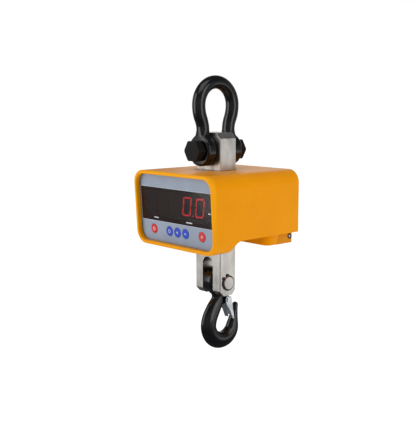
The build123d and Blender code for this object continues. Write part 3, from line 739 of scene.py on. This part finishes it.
def turned_brass(point):
    """Dull patches over bright brass with fine turning rings along Y."""
    feeds = {"Vector": point, "Scale": 900.0, "Distortion": 0.6}
    rings = point.node("TexWave", feeds, out=1, bands_direction="Y")
    dull = cloud(point, 2 * MM, detail=3.0)
    return {
        "Base Color": mixed(dull, BRASS, BRASS_DULL),
        "Roughness": 0.22 + dull * 0.2,
        "Normal": bumped(rings, 0.01 * MM, 0.5),
    }


dress(finish("solder_mask", solder_mask), "display_board", "key_board", "main_board")
brass = finish("turned_brass", turned_brass, metallic=1.0)
dress(brass, "board_spacers", "main_board_posts", "battery_contacts")
dress(black_plastic, "tact_switches", "board_parts")
dress(rubber, "signal_cable")


# ---------------------------------------------------------------- battery compartment
# A fixed nose under the tail holds sprung contacts and two rails; the pack slides out of it to the rear.
# The nose has the housing's coat. The pack is a deeper amber moulding with a round socket in its end.

PACK_AMBER = (0.50, 0.190, 0.004, 1)
PACK_DEEP = (0.46, 0.165, 0.004, 1)
SOCKET_AT = (86.6 * MM, -234.8 * MM)
SOCKET_METAL_R = 2.5 * MM
SOCKET_BRIGHT = (0.80, 0.78, 0.74, 1)
WRAP = (0.030, 0.075, 0.26, 1)
WRAP_SEAM = (0.015, 0.040, 0.15, 1)


def shrink_wrap(point):
    """Blue wrap with a darker seam now and then and fine wrinkles across the cell."""
    wrinkles = cloud(point, 1.2 * MM, stretch=(6, 1, 1), detail=3.0)
    seam = ramped(abs(axis(point, 1) - 0.077), 0.6 * MM, 1.0 * MM)
    return {
        "Base Color": mixed(seam, WRAP_SEAM, WRAP),
        "Roughness": 0.25 + wrinkles * 0.2,
        "Normal": bumped(wrinkles, 0.08 * MM, 0.5),
    }


def pack_moulding(point):
    """Satin brown-amber plastic, a shade deeper than the powder coat, with a fine spark-eroded grain."""
    grain = cloud(point, 0.5 * MM, detail=2.0)
    depth = cloud(point, 20 * MM, detail=2.0)
    return {
        "Base Color": mixed(depth, PACK_AMBER, PACK_DEEP),
        "Roughness": 0.34 + grain * 0.12,
        "Normal": bumped(grain, 0.03 * MM, 0.5),
    }


def socket_metal(point):
    """Bright within SOCKET_METAL_R of the socket's axis, where the bore and the pin are, black beyond."""
    across = axis(point, 1) - SOCKET_AT[0]
    up = axis(point, 2) - SOCKET_AT[1]
    square = across * across + up * up
    reach = square.math("SQRT", square)
    metal = 1 - ramped(reach, SOCKET_METAL_R, SOCKET_METAL_R + 0.2 * MM)
    return {
        "Base Color": mixed(metal, MODULE_BLACK, SOCKET_BRIGHT),
        "Metallic": metal,
        "Roughness": 0.35 - metal * 0.12 + cloud(point, 0.4 * MM) * 0.1,
    }


dress(coat, "battery_nose")
moulding = finish("pack_moulding", pack_moulding, specular_ior_level=0.2, specular_tint=AMBER_SHEEN)
dress(moulding, "battery_pack")
dress(aluminium, "battery_rails")
dress(finish("socket_metal", socket_metal), "charge_socket")
dress(finish("cell_wrap", shrink_wrap), "battery_cells")


# ---------------------------------------------------------------- hook pin and circlips
# A ground pin passes through both cheeks of the block and the hook's eye.
# A blackened spring ring in a groove at each end keeps it in.

SPRING_BLACK = (0.020, 0.019, 0.019, 1)
SPRING_BARE = (0.090, 0.086, 0.082, 1)


def spring_steel(point):
    """Oil-black with rubbed, slightly bare patches."""
    rubbed = ramped(cloud(point, 1.5 * MM, detail=4.0), 0.52, 0.75)
    return {"Base Color": mixed(rubbed, SPRING_BLACK, SPRING_BARE), "Roughness": 0.32 - rubbed * 0.08}


dress(nickel, "hook_pin")
dress(finish("oiled_spring_steel", spring_steel, metallic=0.8), "hook_pin_circlips", "latch_spring")


# ---------------------------------------------------------------- hook
# A drop-forged eye hook: a round eye on the pin, a neck that swells into a deep bowl, and a tapering tip.
# A small lug on the neck carries the latch. It has the same dipped enamel as the shackle.

HOOK_Z = -308.1
EYE_R = 21.0
EYE_BORE_R = 10.8
EYE_HALF = 10.0
EYE_CORNER_R = 3.4
EYE_STATIONS = 160
SHANK_STATIONS = 260
BOWL_Y = 13.3
BOWL_Z = -73.7
BOWL_R = 15.5
TIP_R = 4.7
LATCH_Y = 20.5
LATCH_Z = -35.2
LUG_R = 6.0
LUG_ROOT_R = 9.0
LUG_ROOT_Y = 6.0
LUG_HALF = 4.0
LUG_EDGE_R = 1.2
LUG_POINTS = 48
NECK = [
    (1.4, -11.6, 17.6, 9.0), (2.6, -16.0, 14.6, 9.0), (3.8, -21.0, 11.6, 9.0), (4.4, -27.0, 10.2, 9.0),
    (2.8, -35.0, 11.0, 9.5), (-1.8, -42.5, 12.6, 10.0), (-7.4, -51.0, 13.5, 10.4), (-12.4, -60.0, 13.9, 10.8),
]
BOWL_TURNS = [(185, 13.9, 11.0), (207, 13.9, 11.0), (229, 13.9, 11.0), (251, 13.9, 11.0), (273, 13.9, 11.0),
              (291, 13.9, 10.9), (308, 13.5, 10.6), (326, 12.7, 9.8), (344, 11.2, 8.8)]
TIP = [(40.8, -72.3, 8.7, 7.5), (42.3, -64.3, 6.7, 6.5), (43.8, -56.3, 5.3, 5.7), (45.0, -48.8, 4.7, 4.9)]


def spline(knots, count):
    """Natural cubic spline through the knots, by chord length: the second derivatives solve a tridiagonal
    system, and each span is the usual cubic of its two knots and their second derivatives."""
    knots = np.array(knots, float)
    step = np.linalg.norm(np.diff(knots[:, :2], axis=0), axis=1)
    place = np.concatenate([[0], np.cumsum(step)])
    size = len(knots)
    matrix = np.eye(size)
    inner = np.arange(1, size - 1)
    matrix[inner, inner - 1] = step[:-1]
    matrix[inner, inner] = 2 * (step[:-1] + step[1:])
    matrix[inner, inner + 1] = step[1:]
    slope = np.diff(knots, axis=0) / step[:, None]
    bend = np.zeros_like(knots)
    bend[1:-1] = 6 * np.diff(slope, axis=0)
    bend = np.linalg.solve(matrix, bend)
    at = np.linspace(0, place[-1], count)
    k = np.clip(np.searchsorted(place, at, side="right") - 1, 0, size - 2)
    a, b, h = (place[k + 1] - at)[:, None], (at - place[k])[:, None], step[k][:, None]
    curve = (bend[k] * a**3 + bend[k + 1] * b**3) / (6 * h)
    return curve + (knots[k] / h - bend[k] * h / 6) * a + (knots[k + 1] / h - bend[k + 1] * h / 6) * b


def shank_surface():
    """Elliptic sections along a spline from the eye to the tip. The inner side is a tenth fuller than the
    outer one, and the tip closes with a round end whose radius falls as the cosine of its turn."""
    bowl = []
    for turn, depth, width in BOWL_TURNS:
        reach = BOWL_R + depth
        bowl.append((BOWL_Y + reach * cos(radians(turn)), BOWL_Z + reach * sin(radians(turn)), depth, width))
    line = spline(NECK + bowl + TIP, SHANK_STATIONS)
    run = np.gradient(line[:, :2], axis=0)
    run = run / np.linalg.norm(run, axis=1, keepdims=True)
    end = np.linspace(0, np.pi / 2, 14)[1:]
    cap = np.repeat(line[-1:], len(end), axis=0)
    cap[:, :2] += run[-1] * (TIP_R * np.sin(end))[:, None]
    cap[:, 2:] *= np.cos(end)[:, None] + 0.002
    line = np.concatenate([line, cap])
    run = np.concatenate([run, np.repeat(run[-1:], len(end), axis=0)])
    inward = np.stack([-run[:, 1], run[:, 0]], axis=-1)
    turn = np.arange(RING_POINTS) * 2 * np.pi / RING_POINTS
    x = line[:, 3:4] * np.cos(turn) * (1 + 0.1 * np.sin(turn))
    n = line[:, 2:3] * np.sin(turn)
    rings = place_rings(line[:, :2], inward, x, n)
    return tube(rings + np.array([0, 0, HOOK_Z]))


def eye_surface():
    """The eye: a rounded rectangle, in X and radius, carried once round the pin."""
    turn = np.linspace(0, 2 * np.pi, EYE_STATIONS, endpoint=False)
    half = np.full(EYE_STATIONS, (EYE_R - EYE_BORE_R) / 2)
    x, n = rounded_ring(np.full(EYE_STATIONS, EYE_HALF), half, np.full(EYE_STATIONS, EYE_CORNER_R))
    normal = np.stack([np.cos(turn), np.sin(turn)], axis=-1)
    centre = normal * (EYE_R + EYE_BORE_R) / 2 + np.array([0, HOOK_Z])
    return tube(place_rings(centre, normal, x, n), closed=True)


def lug_surface():
    """Rounded plate from the neck to the latch pin: the half circle round each end, joined by straight sides,
    drawn in towards both faces so that its rim is rounded."""
    turn = np.linspace(0, 2 * np.pi, LUG_POINTS, endpoint=False)
    ahead = np.cos(turn) > 0
    lift = np.linspace(-np.pi / 2, np.pi / 2, 11)
    x = (LUG_HALF - LUG_EDGE_R) * np.sign(lift) + LUG_EDGE_R * np.sin(lift)
    inset = LUG_EDGE_R * (1 - np.cos(lift))
    radius = np.where(ahead, LUG_R, LUG_ROOT_R)[None, :] - inset[:, None]
    y = np.where(ahead, LATCH_Y, LUG_ROOT_Y)[None, :] + radius * np.cos(turn)
    z = HOOK_Z + LATCH_Z + radius * np.sin(turn)
    return tube(np.stack([np.repeat(x[:, None], LUG_POINTS, axis=1), y, z], axis=-1))


hook = piece("hook_forging", [shank_surface(), eye_surface(), lug_surface()], enamel, "hook")
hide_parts("hook")


# ---------------------------------------------------------------- latch
# A folded zinc-plated channel that turns on a riveted pin in the lug and springs shut against the tip.
# A wire spring is wound round the pin on each side of the lug.

dress(zinc, "hook_latch", "latch_pin")


# ---------------------------------------------------------------- studio
# A pale floor well below the hook, inside a white dome for the camera and a dim room for the reflections.
# Soft lights stand at the front left, above, at the right, low at the right and behind.

FLOOR_Z = -0.95
AIM = Vector((-0.0072, -0.0079, -0.2043))
CAMERA_AT = Vector((0.9085, -0.8455, -0.0208))
CAMERA_TURN = (radians(81.59), 0, radians(47.55))
FLOOR_HALF = 12.0
AIR_LIGHT = 0.6
FLOOR_GREY = (0.86, 0.86, 0.86, 1)
FLOOR_PALE = (0.90, 0.90, 0.90, 1)
ROOM_PALE = (0.50, 0.49, 0.48, 1)
ROOM_DIM = (0.10, 0.10, 0.11, 1)


def staged_grid(name, x, y, z, material):
    """Sheet through arrays of x, y and z of the same shape."""
    points = np.stack([x, y, z], axis=-1)
    rows, columns, _ = points.shape
    first = (np.arange(rows - 1)[:, None] * columns + np.arange(columns - 1)).reshape(-1)
    faces = np.stack([first, first + 1, first + columns + 1, first + columns], axis=-1)
    mesh = bpy.data.meshes.new(name)
    mesh.from_pydata(points.reshape(-1, 3).tolist(), [], faces.tolist())
    mesh.materials.append(material)
    mesh.shade_smooth()
    made = bpy.data.objects.new(name, mesh)
    bpy.context.scene.collection.objects.link(made)
    return made


def soft_light(name, place, size, watts, colour=(1, 1, 1)):
    """Rectangular light at place that faces the middle of the scale."""
    lamp = bpy.data.lights.new(name, "AREA")
    lamp.shape = "RECTANGLE"
    lamp.size, lamp.size_y = size
    lamp.energy = watts
    lamp.color = colour
    made = bpy.data.objects.new(name, lamp)
    made.location = place
    made.rotation_euler = (AIM - Vector(place)).to_track_quat("-Z", "Y").to_euler()
    bpy.context.scene.collection.objects.link(made)
    return made


def pale_floor(point):
    mottle = cloud(point, 0.4)
    return {"Base Color": mixed(mottle, FLOOR_GREY, FLOOR_PALE)}


def room(point):
    """What the gloss mirrors: pale near the level of the scale, dim above and below, with big soft clouds
    like the walls and windows of a room."""
    height = axis(point, 2)
    level = 1 - ramped(abs(height), 0.4, 3.0)
    clouds = ramped(cloud(point, 2.2, detail=2.0), 0.35, 0.65)
    return {"Emission Color": mixed(level * (0.35 + clouds * 0.65), ROOM_DIM, ROOM_PALE)}


def dome(name, radius, material, **seen):
    """Sphere of this radius about the scale, seen only by the rays that are named."""
    turn, rise = np.meshgrid(np.linspace(0, 2 * np.pi, 49), np.linspace(-np.pi / 2, np.pi / 2, 25))
    flat = radius * np.cos(rise)
    made = staged_grid(name, flat * np.cos(turn), flat * np.sin(turn), radius * np.sin(rise), material)
    for ray in ("camera", "diffuse", "glossy", "transmission", "shadow"):
        setattr(made, "visible_" + ray, seen.get(ray, False))


span = np.linspace(-FLOOR_HALF, FLOOR_HALF, 9)
floor_paint = finish("pale_floor", pale_floor, roughness=0.9, emission_color=(1, 1, 1, 1),
                     emission_strength=0.52)
across, along = np.meshgrid(span, span)
floor = staged_grid("floor", across, along, np.full_like(across, FLOOR_Z), floor_paint)
floor.visible_glossy = False
UNLIT = {"base_color": (0, 0, 0, 1), "roughness": 1.0, "specular_ior_level": 0.0, "emission_strength": 1.0}
white_air = finish("white_backdrop", lambda point: {"Emission Color": (1, 1, 1, 1)}, **UNLIT)
dome("backdrop", 14, white_air, camera=True)
dome("mirrored_room", 5, finish("mirrored_room", room, **UNLIT), glossy=True)

soft_light("front_left", (-0.75, -1.25, 0.15), (0.8, 1.5), 11)
soft_light("overhead", (0.4, -0.5, 1.3), (1.4, 1.2), 10)
soft_light("right", (1.7, 0.3, 0.2), (0.8, 1.6), 11)
soft_light("low_right", (1.30, 1.05, -0.55), (0.9, 0.6), 1.8)
soft_light("behind", (-0.9, 1.4, 0.35), (1.2, 0.9), 2.2, (1, 0.95, 0.9))

world = bpy.data.worlds.new("studio_air")
world.use_nodes = True
world.node_tree.nodes["Background"].inputs["Color"].default_value = (1, 1, 1, 1)
world.node_tree.nodes["Background"].inputs["Strength"].default_value = AIR_LIGHT
bpy.context.scene.world = world
bpy.context.scene.view_settings.view_transform = "Standard"

camera_lens = bpy.data.cameras.new("camera")
camera_lens.lens = 64.5
camera = bpy.data.objects.new("camera", camera_lens)
camera.location = CAMERA_AT
camera.rotation_euler = CAMERA_TURN
bpy.context.scene.collection.objects.link(camera)
bpy.context.scene.camera = camera
